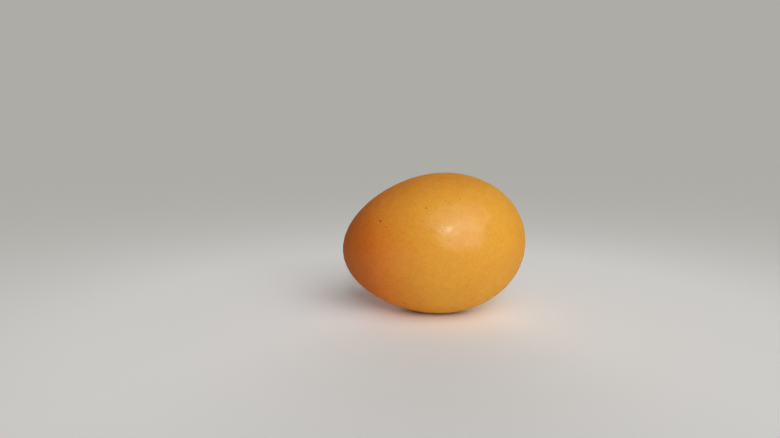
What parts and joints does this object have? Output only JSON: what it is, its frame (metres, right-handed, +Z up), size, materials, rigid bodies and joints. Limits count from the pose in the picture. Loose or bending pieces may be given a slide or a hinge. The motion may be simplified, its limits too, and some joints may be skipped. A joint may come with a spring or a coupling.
{
  "type": "egg",
  "caption": "Whole brown hen's egg in its shell, lying on its side on a small flat spot, blunt end slightly raised.",
  "frame": {"origin": "middle of the small flat spot the egg rests on, on the resting surface, under the egg's centre of mass", "axes": "+Z up; +X along the egg's length towards the blunt end, which is raised by about 6.5 degrees; the XZ plane is the egg's plane of symmetry"},
  "size_m": [0.0589, 0.0452, 0.0451],
  "materials": {
    "eggshell": "satin"
  },
  "bodies": {
    "root": {"egg": "eggshell"}
  },
  "joints": []
}
